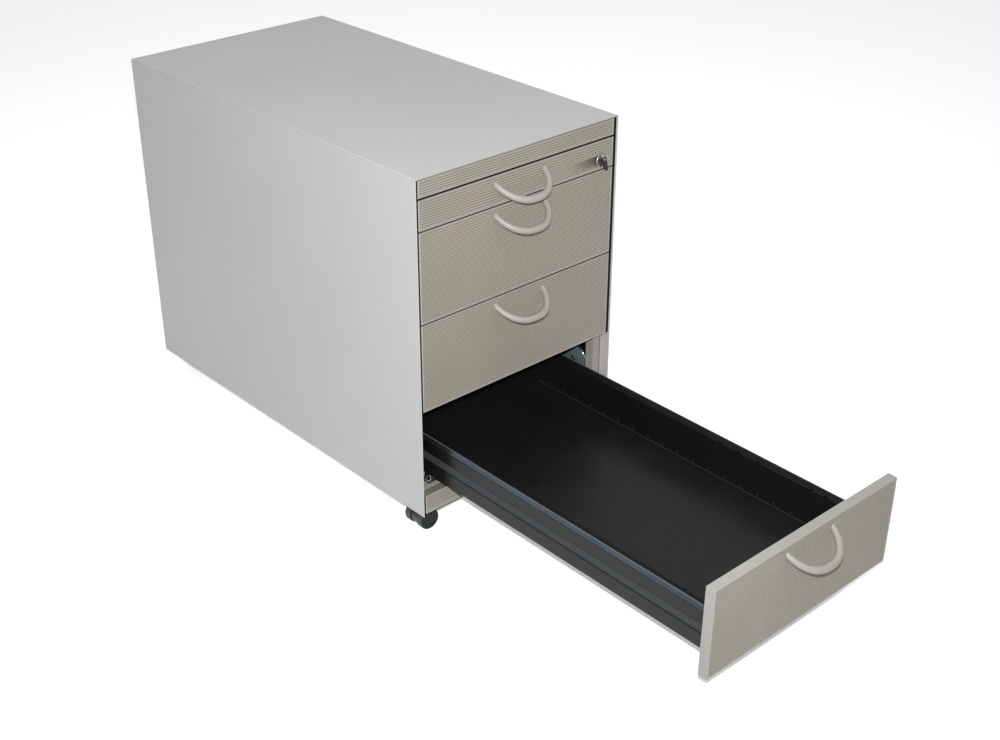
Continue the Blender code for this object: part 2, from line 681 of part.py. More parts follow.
# ---------------------------------------------------------------- assembly
def main():
    for obj in list(bpy.data.objects):
        bpy.data.objects.remove(obj, do_unlink=True)
    side_panels()
    top_panel()
    back_panel()
    base_plate()
    front_posts()
    rear_posts()
    cross_rails()
    fixed_panels()
    empties = [drawer(*entry) for entry in DRAWERS]
    lock(empties[-1])
    interlock()
    castors()


main()
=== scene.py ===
"""Looks of the mobile office pedestal: ribbed fronts, bow handles, folded drawer boxes,
castors, lock and interlock, with their finishes, light and camera."""

import json
import math

import bmesh
import bpy
from mathutils import Euler, Matrix, Vector

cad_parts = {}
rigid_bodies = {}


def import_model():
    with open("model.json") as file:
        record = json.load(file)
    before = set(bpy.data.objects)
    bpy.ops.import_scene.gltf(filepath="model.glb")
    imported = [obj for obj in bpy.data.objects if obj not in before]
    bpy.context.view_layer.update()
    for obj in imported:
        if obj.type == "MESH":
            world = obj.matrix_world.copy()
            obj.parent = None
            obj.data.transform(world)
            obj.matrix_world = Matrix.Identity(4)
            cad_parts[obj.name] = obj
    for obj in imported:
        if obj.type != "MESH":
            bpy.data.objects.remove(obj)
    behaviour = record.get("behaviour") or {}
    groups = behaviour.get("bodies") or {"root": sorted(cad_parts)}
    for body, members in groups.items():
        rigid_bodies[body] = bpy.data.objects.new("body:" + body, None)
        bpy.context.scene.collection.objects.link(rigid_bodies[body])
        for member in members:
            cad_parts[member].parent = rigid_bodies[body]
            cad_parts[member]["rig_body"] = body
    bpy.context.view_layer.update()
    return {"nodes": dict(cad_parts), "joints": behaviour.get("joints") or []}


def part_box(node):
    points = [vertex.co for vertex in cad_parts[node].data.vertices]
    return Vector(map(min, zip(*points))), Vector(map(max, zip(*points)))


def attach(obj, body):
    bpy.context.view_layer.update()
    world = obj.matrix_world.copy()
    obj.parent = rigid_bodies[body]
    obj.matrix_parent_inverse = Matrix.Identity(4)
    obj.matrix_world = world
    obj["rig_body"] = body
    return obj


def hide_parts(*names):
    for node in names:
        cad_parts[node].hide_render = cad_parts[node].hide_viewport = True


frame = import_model()
NODES = frame["nodes"]
JOINTS = {joint["name"]: joint for joint in frame["joints"]}

# ---------------------------------------------------------------- sizes, in metres
SIDES = (("left", -1), ("right", 1))
DRAWERS = ("drawer_1", "drawer_2", "drawer_3", "drawer_4")
GAP = 0.0003  # air that keeps neighbouring pieces apart

# Meshes: edges sharper than an angle, in degrees, are shaded sharp or rounded off
MERGE = 1e-6
FLAT = 1.0
SHARP_NEW, SHARP_PANEL, SHARP_BOX, SHARP_SOFT = 35, 25, 40, 50
SOFT_FROM = 38
ARC_TURN = math.radians(15)  # one facet of a rounded corner
FILLET_SHARE = 0.48  # of a side's length that a rounded corner may take

# Ribbed fronts, top strip and plinth
RIB_PITCH = 0.00423
RIB_DEPTH = 0.0016
RIB_STEPS = 6  # facets across a rib
RIB_POWER = 2.4  # higher is a flatter crest and a narrower valley
RIB_FADE = 0.0004  # where the ribs run out into the border
RIB_BORDER = 0.0025  # smooth margin beside the ribs
RIB_LOW = 0.0020  # smooth margin under the ribs
PANEL_EDGE_R = 0.0016  # upright edges
PANEL_ROUND = 0.0008  # top and bottom edges
ROUND_TURN = math.radians(22.5)  # one facet of a top or bottom edge
PLINTH_LIP = 0.0071  # smooth band along the plinth's lower edge
LIP_ROUND = 2  # the lip's rounding, as a multiple of PANEL_ROUND
LIP_STEP = 0.0003
LIP_GROOVE = 0.0015  # its depth, and its height
# painted shade: the dark lower edge of the plinth lip stands for the shade under it
LIP_SHADOW = 0.0026  # height of the dark lower edge
LOCK_HOLE_R = 0.0093

# Painted shade: dark strips in the gaps, and a dark sheet behind the posts
GAP_SHADE_IN = 0.0003
GAP_SHADE_GAP = 0.00015
GAP_SHADE_DEPTH = 0.010
TOP_GAP_SHADE = 0.0010
SHADE_LINE = 0.0006
SHADE_LINE_FRONT = (0.0005, 0.0001)
SHADE_SHEET_OFF = 0.0001
SHADE_SHEET_SPAN = (0.001, 0.12)  # behind the post

# Bow handles
HANDLE_HALF = 0.0507  # half the distance between the ends
HANDLE_DROP = 0.0161  # ends below the front's top edge
HANDLE_REACH = 0.0429
HANDLE_TILT = math.radians(32.4)
HANDLE_SHAPE = 2.48
HANDLE_ROUND = 0.667
HANDLE_R_END = 0.0049
HANDLE_R_MID = 0.0062
HANDLE_STEP = 0.0020
HANDLE_SAMPLES = 600
HANDLE_SUNK = 0.008  # how far the ends run on into the front before they are cut flush
HANDLE_TRIM = (0.08, 0.04)

# Folded drawer boxes
LINER = 0.0010  # sheet thickness
WALL = 0.019  # width of a hollow wall
WEB_IN = 0.004  # upper part of the wall, from its outside
RIDGE_IN = 0.0066  # ridge of the top rail, from its outside
RIDGE_HALF = 0.0011
RAIL_DIP = 0.0039  # the top rail's inner edge below its ridge
RAIL_SLOPE = 0.0062  # the top rail's outer edge below its ridge
LEDGE_BAND = (0.0270, 0.0360)
UPRIGHT, SLOPING = 0.9, 0.3  # how far a face's normal points outwards
GROOVE = 0.0011  # depth of the pressed grooves
FOLD_R = 0.0015
SHALLOW = 0.05  # boxes lower than this have plain walls
BOX_REAR = -0.006  # rear wall, from the axle
TRAY_LAP = 0.0004
PIN_R = 0.003
AXLE_BORE = (0.1, 0.2)
RAIL_SLOTS = (0.0735, 0.0995, 0.204, 0.242, 0.280)  # behind the front end of a deep box
SLOT_HALF = 0.0035
SLOT_ACROSS = (0.001, 0.0022)
SLOT_TALL = (0.0032, 0.0030)
CAM_SLOT_Y = (0.0210, 0.0270)  # behind the front's face
CAM_SLOT_Z = (0.0057, 0.0215)  # below and above the lock's axis
FLANGE_WIDE = 0.0016
FLANGE_THICK = 0.0007
FLANGE_END = 0.002
WELDS = 20
WELD_R = 0.0014
WELD_PROUD = 0.0012
WELD_UP = 0.006
WELD_END = 0.03

# Rollers, interlock disc and its wire
ROLLER_BORE_R = PIN_R + 0.0001
ROLLER_DISH = 0.0008
RING_LOW, RING_PROUD = 0.0004, 0.0001
DISC_FACE = 0.0014  # middle of the dome, from the end of the pin
WIRE_R = 0.0011
WIRE_OFF = 0.0005  # outside the disc's rim
WIRE_FROM, WIRE_TURN, WIRE_POINTS = -25, 8, 15  # degrees
WIRE_TAIL = ((0.0005, 0.006, 0.004), (0.0010, 0.012, 0.010))

# Floor, camera and light: places in metres, the camera's Y from the carcass front
FLOOR_HALF = 30
FLOOR_TONES = ((0.93, 0.93, 0.93), (0.95, 0.95, 0.95))
FLOOR_GLOW = 0.37
SKY = (0.97, 0.985, 1.0, 1.0)
SKY_STRENGTH = 0.48
LENS = 53.56
SHIFT = (0.0104, 0.0054)
CAMERA_PLACE = (-1.4632, -1.5501, 1.3996)
CAMERA_TURN = (61.07, 0.09, -42.05)
FLASH_ABOVE = 0.10
FLASH_AIM_Z = 0.33
FLASH_CONE = 60
FLASH_SIZE = 0.015
FLASH_POWER, FLASH_TINT = 288, (1.0, 0.985, 0.96)
OVERHEAD_PLACE, OVERHEAD_AIM, OVERHEAD_SIZE = (0.2, 0.3, 3.0), (0, 0, 0.6), (2.0, 2.0)
OVERHEAD_POWER, OVERHEAD_TINT = 19, (1.0, 0.99, 0.97)
WINDOW_PLACE, WINDOW_AIM, WINDOW_SIZE = (-1.90, 1.35, 1.92), (-0.178, -0.35, 0.16), (1.8, 0.45)
WINDOW_POWER, WINDOW_TINT, WINDOW_ALONG = 8, (0.45, 0.72, 1.0), (0.22, 0.95, -0.22)


# ---------------------------------------------------------------- mesh building
def new_piece(name, bm, mat=None, smooth_angle=SHARP_NEW):
    """Object made from a bmesh, shaded smooth between its sharp edges."""
    bmesh.ops.remove_doubles(bm, verts=bm.verts, dist=MERGE)
    bmesh.ops.recalc_face_normals(bm, faces=bm.faces)
    mesh = bpy.data.meshes.new(name)
    bm.to_mesh(mesh)
    bm.free()
    if mat:
        mesh.materials.append(mat)
    mesh.shade_smooth()
    mesh.set_sharp_from_angle(angle=math.radians(smooth_angle))
    obj = bpy.data.objects.new(name, mesh)
    bpy.context.scene.collection.objects.link(obj)
    return obj


def prism(outline, start, end, axis):
    """A 2-D outline extruded along an axis; its numbers are the other two axes in order."""
    order = {"X": lambda a, b, t: (t, a, b), "Y": lambda a, b, t: (a, t, b),
             "Z": lambda a, b, t: (a, b, t)}[axis]
    bm = bmesh.new()
    low = [bm.verts.new(order(a, b, start)) for a, b in outline]
    high = [bm.verts.new(order(a, b, end)) for a, b in outline]
    bm.faces.new(low)
    bm.faces.new(high[::-1])
    for i in range(len(outline)):
        j = (i + 1) % len(outline)
        bm.faces.new((low[i], low[j], high[j], high[i]))
    return new_piece("work", bm)


def block(x, y, z):
    """Box between two values on each axis."""
    return prism([(x[0], y[0]), (x[1], y[0]), (x[1], y[1]), (x[0], y[1])], z[0], z[1], "Z")


def circle(radius, sides, centre=(0.0, 0.0)):
    return [(centre[0] + radius * math.cos(math.tau * i / sides),
             centre[1] + radius * math.sin(math.tau * i / sides)) for i in range(sides)]


def rod(radius, start, end, centre, axis, sides):
    """Round bar along an axis; its centre is given on the other two axes."""
    return prism(circle(radius, sides, centre), start, end, axis)


def lathe(profile, sides):
    """Solid turned about X through the origin, from (radius, along) points."""
    bm = bmesh.new()
    rings = []
    for radius, along in profile:
        if radius == 0:
            rings.append([bm.verts.new((0, along, 0))])
        else:
            rings.append([bm.verts.new((x, along, z)) for x, z in circle(radius, sides)])
    for ring, after in zip(rings, rings[1:] + rings[:1]):
        if len(ring) == 1 and len(after) == 1:
            continue
        for i in range(sides):
            j = (i + 1) % sides
            if len(ring) == 1:
                bm.faces.new((ring[0], after[i], after[j]))
            elif len(after) == 1:
                bm.faces.new((ring[i], ring[j], after[0]))
            else:
                bm.faces.new((ring[i], ring[j], after[j], after[i]))
    bmesh.ops.rotate(bm, verts=bm.verts, matrix=Matrix.Rotation(-math.pi / 2, 3, "Z"))
    return new_piece("work", bm)


def sweep(points, radii, sides):
    """Round tube through points, with a radius at each and closed ends."""
    bm = bmesh.new()
    rings = []
    normal = None
    for i, point in enumerate(points):
        ahead = (points[min(i + 1, len(points) - 1)] - points[max(i - 1, 0)]).normalized()
        if normal is None:
            normal = ahead.orthogonal()
        normal = (normal - ahead * normal.dot(ahead)).normalized()
        across = ahead.cross(normal)
        rings.append([bm.verts.new(point + radii[i] * (normal * c + across * s))
                      for c, s in circle(1.0, sides)])
    for ring, after in zip(rings, rings[1:]):
        for i in range(sides):
            j = (i + 1) % sides
            bm.faces.new((ring[i], ring[j], after[j], after[i]))
    bm.faces.new(rings[0][::-1])
    bm.faces.new(rings[-1])
    return new_piece("work", bm)


def fillet(outline, radii):
    """Outline with each corner rounded by its own radius (0 leaves it sharp)."""
    rounded = []
    count = len(outline)
    for i, radius in enumerate(radii):
        here = Vector(outline[i])
        before, after = Vector(outline[i - 1]) - here, Vector(outline[(i + 1) % count]) - here
        if radius == 0:
            rounded.append(tuple(here))
            continue
        half = before.angle(after) / 2
        most = (FILLET_SHARE * before.length, FILLET_SHARE * after.length)
        reach = min(radius / math.tan(half), *most)
        radius = reach * math.tan(half)
        a, b = here + before.normalized() * reach, here + after.normalized() * reach
        centre = here + (before.normalized() + after.normalized()).normalized() * (
            radius / math.sin(half))
        start, stop = a - centre, b - centre
        turn = start.angle_signed(stop)
        steps = max(3, round(abs(turn) / ARC_TURN))
        for k in range(steps + 1):
            spun = start.copy()
            spun.rotate(Matrix.Rotation(-turn * k / steps, 2))
            rounded.append(tuple(centre + spun))
    return rounded


def apply_modifiers(obj):
    """The piece with its modifiers turned into plain mesh."""
    mesh = bpy.data.meshes.new_from_object(
        obj.evaluated_get(bpy.context.evaluated_depsgraph_get()))
    obj.modifiers.clear()
    obj.data = mesh
    return obj


def cut(obj, *tools):
    """Take the tools away from a piece, one after another."""
    for tool in tools:
        modifier = obj.modifiers.new("boolean", "BOOLEAN")
        modifier.operation = "DIFFERENCE"
        modifier.solver = "EXACT"
        modifier.object = tool
        apply_modifiers(obj)
        bpy.data.objects.remove(tool)
    return obj


def join(pieces):
    """One mesh out of several, left as they are."""
    bm = bmesh.new()
    for piece in pieces:
        bm.from_mesh(piece.data)
    for piece in pieces[1:]:
        bpy.data.objects.remove(piece)
    bm.to_mesh(pieces[0].data)
    bm.free()
    return pieces[0]


def mirrored(obj, side):
    """The piece itself on the right, or its mirror image on the left."""
    if side < 0:
        obj.data.transform(Matrix.Scale(-1, 4, (1, 0, 0)))
        obj.data.flip_normals()
    return obj


def even_shading(obj, sharp_angle):
    """Smooth shading that keeps flat faces flat beside small rounded edges."""
    obj.data.shade_smooth()
    obj.data.set_sharp_from_angle(angle=math.radians(sharp_angle))
    weighted = obj.modifiers.new("even_shading", "WEIGHTED_NORMAL")
    weighted.keep_sharp = True
    return apply_modifiers(obj)


def soften(obj, width, segments=2):
    """Small rounded edges that catch the light."""
    bevel = obj.modifiers.new("soft_edges", "BEVEL")
    bevel.width = width
    bevel.segments = segments
    bevel.limit_method = "ANGLE"
    bevel.angle_limit = math.radians(SOFT_FROM)
    bevel.use_clamp_overlap = True
    return even_shading(apply_modifiers(obj), SHARP_SOFT)


def dress(obj, name, mat, slot, body, *nodes, place=None, others=()):
    """Name a piece, paint it, hang it on its body and let it stand for CAD nodes. Faces
    that carry material index 1 and up get the other finishes."""
    obj.name = name
    obj.data.name = name
    painted = [face.material_index for face in obj.data.polygons]
    obj.data.materials.clear()
    obj.data.materials.append(mat)
    for other in others:
        obj.data.materials.append(other)
    obj.data.polygons.foreach_set("material_index", painted if others else [0] * len(painted))
    if place is not None:
        obj.matrix_world = place
    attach(obj, body)
    if nodes:
        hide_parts(*nodes)
    return obj


def body_of(node):
    return NODES[node]["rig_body"]


def refine(node, mat, slot, width=0.0004, segments=2, other=None, facing=None):
    """Copy of a CAD node with its edges softened, in its finish. Faces that
    pass the facing test take the other finish."""
    bm = bmesh.new()
    bm.from_mesh(NODES[node].data)
    bmesh.ops.remove_doubles(bm, verts=bm.verts, dist=MERGE)
    bmesh.ops.dissolve_limit(bm, angle_limit=math.radians(FLAT), verts=bm.verts, edges=bm.edges)
    piece = soften(new_piece(f"{node}_surface", bm, mat), width, segments)
    for face in piece.data.polygons:
        face.material_index = 1 if other and facing(face) else 0
    return dress(piece, f"{node}_surface", mat, slot, body_of(node), node,
                 others=(other,) if other else ())


# ---------------------------------------------------------------- materials
class Finish:
    """Small helper that wires a Principled material out of noise layers."""

    def __init__(self, name, metallic=0.0, ior=1.5):
        self.mat = bpy.data.materials.new(name)
        self.mat.use_nodes = True
        self.tree = self.mat.node_tree
        self.shader = self.tree.nodes["Principled BSDF"]
        self.shader.inputs["Metallic"].default_value = metallic
        self.shader.inputs["IOR"].default_value = ior
        self.coords = self.add("ShaderNodeTexCoord").outputs["Object"]

    def add(self, kind, **settings):
        node = self.tree.nodes.new(kind)
        for key, value in settings.items():
            setattr(node, key, value)
        return node

    def link(self, source, target):
        self.tree.links.new(source, target)

    def stretched(self, scale):
        mapping = self.add("ShaderNodeMapping")
        mapping.inputs["Scale"].default_value = scale
        self.link(self.coords, mapping.inputs["Vector"])
        return mapping.outputs["Vector"]

    def noise(self, scale, detail=3.0, rough=0.5, stretch=None):
        node = self.add("ShaderNodeTexNoise")
        node.inputs["Scale"].default_value = scale
        node.inputs["Detail"].default_value = detail
        node.inputs["Roughness"].default_value = rough
        self.link(self.stretched(stretch) if stretch else self.coords, node.inputs["Vector"])
        return node.outputs["Fac"]

    def spread(self, source, low, high, start=0.3, stop=0.7):
        """Source values from start to stop, spread over low to high."""
        node = self.add("ShaderNodeMapRange")
        for key, value in zip(("From Min", "From Max", "To Min", "To Max"),
                              (start, stop, low, high)):
            node.inputs[key].default_value = value
        self.link(source, node.inputs["Value"])
        return node.outputs["Result"]

    def mix(self, fac, a, b):
        node = self.add("ShaderNodeMix", data_type="RGBA")
        for value, index in ((a, 6), (b, 7)):
            if isinstance(value, tuple):
                node.inputs[index].default_value = (*value, 1.0)
            else:
                self.link(value, node.inputs[index])
        self.link(fac, node.inputs[0])
        return node.outputs[2]

    def sum(self, a, b, weight):
        node = self.add("ShaderNodeMath", operation="MULTIPLY_ADD")
        self.link(b, node.inputs[0])
        node.inputs[1].default_value = weight
        self.link(a, node.inputs[2])
        return node.outputs[0]

    def tones(self, source, colour, dark, light):
        """A colour that goes from a darker to a lighter shade with the source."""
        return self.mix(self.spread(source, 0, 1), shade(colour, dark), shade(colour, light))

    def colour(self, source):
        self.link(source, self.shader.inputs["Base Color"])

    def roughness(self, source):
        self.link(source, self.shader.inputs["Roughness"])

    def bump(self, source, distance, strength):
        node = self.add("ShaderNodeBump")
        node.inputs["Distance"].default_value = distance
        node.inputs["Strength"].default_value = strength
        self.link(source, node.inputs["Height"])
        self.link(node.outputs["Normal"], self.shader.inputs["Normal"])


def shade(colour, factor):
    return tuple(min(1.0, c * factor) for c in colour)


def enamel(name, colour, roughness=0.42, scuffs=0.05):
    """Powder-coated steel: orange peel, faint mottling, a few long fine scuffs."""
    finish = Finish(name)
    cloud = finish.noise(scale=3.5, detail=4.0, rough=0.6)
    grain = finish.noise(scale=900.0, detail=2.0)
    base = finish.tones(cloud, colour, 0.96, 1.04)
    speck = finish.tones(grain, colour, 0.965, 1.035)
    mixed = finish.add("ShaderNodeMix", data_type="RGBA")
    mixed.inputs[0].default_value = 0.4
    finish.link(base, mixed.inputs[6])
    finish.link(speck, mixed.inputs[7])
    streak = finish.noise(scale=1.0, detail=6.0, rough=0.72, stretch=(14.0, 260.0, 420.0))
    scuff = finish.spread(streak, 0, scuffs * 4, 0.70, 0.86)
    finish.colour(finish.mix(scuff, mixed.outputs[2], shade(colour, 1.25)))
    blotch = finish.noise(scale=22.0, detail=5.0, rough=0.65)
    finish.roughness(finish.spread(blotch, roughness - 0.05, roughness + 0.07))
    peel = finish.noise(scale=420.0, detail=2.0, rough=0.45)
    finish.bump(finish.sum(peel, streak, 0.15), distance=0.00006, strength=0.55)
    return finish.mat


def moulded(name, colour, roughness=0.5, grain=0.05):
    """Through-coloured plastic with a fine spark-eroded grain."""
    finish = Finish(name, ior=1.46)
    cloud = finish.noise(scale=6.0, detail=4.0, rough=0.6)
    speck = finish.noise(scale=1600.0, detail=2.0)
    tone = finish.tones(cloud, colour, 1 - grain, 1 + grain)
    finish.colour(finish.mix(finish.spread(speck, 0, 0.3), tone, shade(colour, 0.94)))
    blotch = finish.noise(scale=60.0, detail=5.0, rough=0.6)
    finish.roughness(finish.spread(blotch, roughness - 0.06, roughness + 0.06))
    finish.bump(finish.noise(scale=1300.0, detail=3.0, rough=0.6), distance=0.00001, strength=0.35)
    return finish.mat


def galvanised(name, colour, roughness=0.36):
    """Zinc-plated steel: spangled crystals and rolling marks."""
    finish = Finish(name, metallic=1.0)
    cells = finish.add("ShaderNodeTexVoronoi")
    cells.inputs["Scale"].default_value = 260.0
    finish.link(finish.coords, cells.inputs["Vector"])
    tone = finish.add("ShaderNodeSeparateColor")
    finish.link(cells.outputs["Color"], tone.inputs["Color"])
    finish.colour(finish.mix(tone.outputs["Red"], shade(colour, 0.78), shade(colour, 1.12)))
    rolled = finish.noise(scale=1.0, detail=5.0, rough=0.7, stretch=(900.0, 40.0, 900.0))
    finish.roughness(finish.spread(rolled, roughness - 0.08, roughness + 0.12))
    finish.bump(rolled, distance=0.00004, strength=0.5)
    return finish.mat


def polished(name, colour, roughness=0.12):
    """Plated metal with hairline marks and a breath of dust."""
    finish = Finish(name, metallic=1.0)
    hair = finish.noise(scale=1.0, detail=6.0, rough=0.7, stretch=(300.0, 2200.0, 2200.0))
    dust = finish.noise(scale=240.0, detail=4.0, rough=0.6)
    finish.colour(finish.mix(finish.spread(dust, 0, 0.35, 0.5, 0.8), colour, shade(colour, 0.6)))
    finish.roughness(finish.spread(hair, roughness - 0.03, roughness + 0.12))
    finish.bump(hair, distance=0.00001, strength=0.4)
    return finish.mat


DUST = (0.30, 0.29, 0.27)


def black_satin(name, colour, roughness=0.3, sheen=0.36):
    """Black stove enamel: fine texture, a little dust settled on upward faces."""
    finish = Finish(name, ior=1.45)
    finish.shader.inputs["Specular IOR Level"].default_value = sheen
    grain = finish.noise(scale=1100.0, detail=3.0, rough=0.55)
    cloud = finish.noise(scale=9.0, detail=5.0, rough=0.6)
    normal = finish.add("ShaderNodeNewGeometry")
    split = finish.add("ShaderNodeSeparateXYZ")
    finish.link(normal.outputs["Normal"], split.inputs["Vector"])
    facing_up = finish.spread(split.outputs["Z"], 0.0, 0.012, 0.5, 1.0)
    dusty = finish.add("ShaderNodeMath", operation="MULTIPLY")
    finish.link(facing_up, dusty.inputs[0])
    finish.link(finish.spread(cloud, 0.2, 1.0), dusty.inputs[1])
    tone = finish.tones(grain, colour, 0.85, 1.2)
    finish.colour(finish.mix(dusty.outputs[0], tone, DUST))
    finish.roughness(finish.spread(cloud, roughness - 0.04, roughness + 0.07))
    finish.bump(grain, distance=0.00003, strength=0.5)
    return finish.mat


# painted shade: darker, duller copy of the black enamel for the rail's inner slope
RAIL_INSIDE_SHADE = black_satin("rail_inside_painted_shade_finish", (0.0042, 0.0046, 0.0052), roughness=0.45, sheen=0.08)
# painted sheen: bluer, glossier copy of the black enamel for the rail's outer slope
RAIL_SLOPE_SHEEN = black_satin("rail_slope_painted_sheen_finish", (0.0070, 0.0085, 0.0100), roughness=0.20, sheen=0.60)
# painted light: lighter copy of the black enamel for the ledge that faces the light
LEDGE_LIT = black_satin("wall_ledge_painted_light_finish", (0.0300, 0.0330, 0.0350), roughness=0.36, sheen=0.36)
# painted shade: darker, duller copy of the black enamel for the walls' upright bands
WALL_SIDE_SHADE = black_satin("wall_side_painted_shade_finish", (0.0042, 0.0046, 0.0052), roughness=0.34, sheen=0.24)
# painted highlight: pale line on the top rail's ridge
RIDGE_HIGHLIGHT = black_satin("ridge_painted_highlight_finish", (0.0950, 0.0900, 0.0820), roughness=0.30, sheen=0.50)
# painted shade: matt black for the strips that stand for the shade in the gaps
GAP_SHADE = black_satin("gap_painted_shade_finish", (0.0120, 0.0110, 0.0100), roughness=0.80, sheen=0.0)
# painted shade: darker finish for the plinth's top face, which lies in shade
PLINTH_TOP_SHADE = moulded("plinth_top_painted_shade_finish", (0.150, 0.144, 0.124), roughness=0.6)
# painted shade: dark finish for the plinth lip's lowest band, for the shade under it
PLINTH_LOW_SHADE = black_satin("plinth_underside_painted_shade_finish", (0.0060, 0.0055, 0.0060),
                        roughness=0.80, sheen=0.0)
WHEEL_FACE = black_satin("wheel_face_finish", (0.012, 0.015, 0.017), roughness=0.50, sheen=0.18)
PIN_DARK = galvanised("pin_finish", (0.16, 0.14, 0.11), roughness=0.40)
# painted shade, with some dirt: darker finish for the valleys between the ribs
VALLEY_DIRT_AND_SHADE = moulded("rib_valley_dirt_and_shade_finish", (0.196, 0.184, 0.152), roughness=0.58)
SEAM = enamel("weld_flange_finish", (0.024, 0.025, 0.028), roughness=0.35)
LIGHT_ENAMEL = enamel("light_enamel_finish", (0.430, 0.425, 0.423), scuffs=0.03)
FRAME_ENAMEL = enamel("frame_enamel_finish", (0.290, 0.278, 0.260), roughness=0.46)
RIBBED = moulded("ribbed_front_finish", (0.282, 0.265, 0.222), roughness=0.52)
BORDER = moulded("panel_border_finish", (0.300, 0.293, 0.276), roughness=0.46)
# the valley, plinth-top and plinth-underside finishes carry painted shade
PANEL_OTHERS = (BORDER, VALLEY_DIRT_AND_SHADE, PLINTH_TOP_SHADE, PLINTH_LOW_SHADE)
HANDLE = moulded("handle_finish", (0.285, 0.271, 0.254), roughness=0.46, grain=0.03)
BLACK = black_satin("black_enamel_finish", (0.0050, 0.0054, 0.0060))
ZINC = galvanised("zinc_finish", (0.50, 0.52, 0.55))
BRASS = galvanised("brass_pin_finish", (0.62, 0.45, 0.20), roughness=0.3)
PLASTIC = moulded("black_plastic_finish", (0.010, 0.013, 0.016), roughness=0.40, grain=0.1)
TREAD = moulded("tread_finish", (0.028, 0.036, 0.038), roughness=0.55, grain=0.08)
NYLON = moulded("white_nylon_finish", (0.62, 0.61, 0.57), roughness=0.42, grain=0.03)
SATIN = polished("satin_lock_finish", (0.46, 0.44, 0.40), roughness=0.30)
KEY_BLACK = moulded("key_finish", (0.006, 0.006, 0.007), roughness=0.5, grain=0.1)
PASSIVATED = enamel("passivated_finish", (0.085, 0.112, 0.114), roughness=0.24)
CHROME = polished("chrome_finish", (0.78, 0.78, 0.77))


# ---------------------------------------------------------------- carcass
def carcass():
    """Sheets and posts with soft edges. The top's front edge takes the darker frame colour as
    painted shade, and the posts are dark between their webs."""
    for node in ("side_panel_left", "side_panel_right", "back_panel"):
        refine(node, LIGHT_ENAMEL, "light_enamel", width=0.0005, segments=3)
    # painted shade: the top sheet's front-facing edge in the darker frame enamel, for the shade
    # along it
    refine("top_panel", LIGHT_ENAMEL, "light_enamel", width=0.0005, segments=3,
           other=FRAME_ENAMEL, facing=lambda face: face.normal.y < -0.5)
    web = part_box("rear_post_right")[0].x - GAP
    for node in ("front_post_left", "front_post_right"):
        refine(node, FRAME_ENAMEL, "frame_enamel", other=PIN_DARK,
               facing=lambda face: abs(face.center.x) < web)
    for node in ("base_plate", "rear_post_left", "rear_post_right", "top_front_rail",
                 "base_front_rail"):
        refine(node, FRAME_ENAMEL, "frame_enamel")
    shade_strips()


def shade_strips():
    """Painted shade: dark strips in the gaps between closed fronts, dark lines along the outer
    edges of the front posts, and a dark sheet lining the side panels behind them, all where only
    shade falls."""
    stack = [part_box(f"drawer_{i}_front") for i in (3, 2, 1)] + [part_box("top_strip")]
    near, far = stack[0][0].y + GAP_SHADE_IN, stack[0][0].y + GAP_SHADE_IN + GAP_SHADE_DEPTH
    half = stack[0][1].x
    under_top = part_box("top_panel")[0].z - GAP
    gaps = [(high.z + GAP_SHADE_GAP, above.z - GAP_SHADE_GAP)
            for (_, high), (above, _) in zip(stack, stack[1:])]
    gaps.append((under_top - TOP_GAP_SHADE, under_top))
    strips = [block((-half, half), (near, far), gap) for gap in gaps]
    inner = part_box("side_panel_right")[0].x - GAP
    plinth = [corner.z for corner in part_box("plinth_panel")]
    for height in ((stack[0][0].z, stack[-1][1].z), plinth):
        strips += [block(sorted((side * (half + GAP_SHADE_GAP), side * inner)), (near, far), height)
                   for _, side in SIDES]
    # the strips are painted shade in the gaps, not parts of the pedestal
    dress(join(strips), "gap_shade_strips", GAP_SHADE, "black_plastic", "carcass", "top_strip", "plinth_panel")
    for side_name, side in SIDES:
        lo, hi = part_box(f"front_post_{side_name}")
        outer = max(abs(lo.x), abs(hi.x)) + GAP
        # painted shade: a thin dark line at each post's outer edge, for the shade in the side gap
        shade_line = block(sorted((side * (outer - SHADE_LINE), side * outer)),
                     (lo.y - SHADE_LINE_FRONT[0], lo.y - SHADE_LINE_FRONT[1]), (lo.z, hi.z))
        dress(shade_line, f"post_shade_line_{side_name}", GAP_SHADE, "black_plastic", "carcass",
              f"front_post_{side_name}")
        # painted shade: a black sheet on the side panel's inside behind the post, where the inside
        # lies in shade
        shade_sheet = block(sorted((side * (outer - SHADE_LINE), side * (outer - SHADE_SHEET_OFF))),
                      (hi.y + SHADE_SHEET_SPAN[0], hi.y + SHADE_SHEET_SPAN[1]), (lo.z, hi.z))
        dress(shade_sheet, f"side_shade_sheet_{side_name}", BLACK, "black_enamel", "carcass",
              f"front_post_{side_name}")


# ---------------------------------------------------------------- ribbed panels
def rib_inset(t):
    """Depth below the crest across one rib, t from 0 to 1."""
    return RIB_DEPTH * (1 - math.sqrt(max(0.0, 1 - abs(2 * t - 1) ** RIB_POWER)))


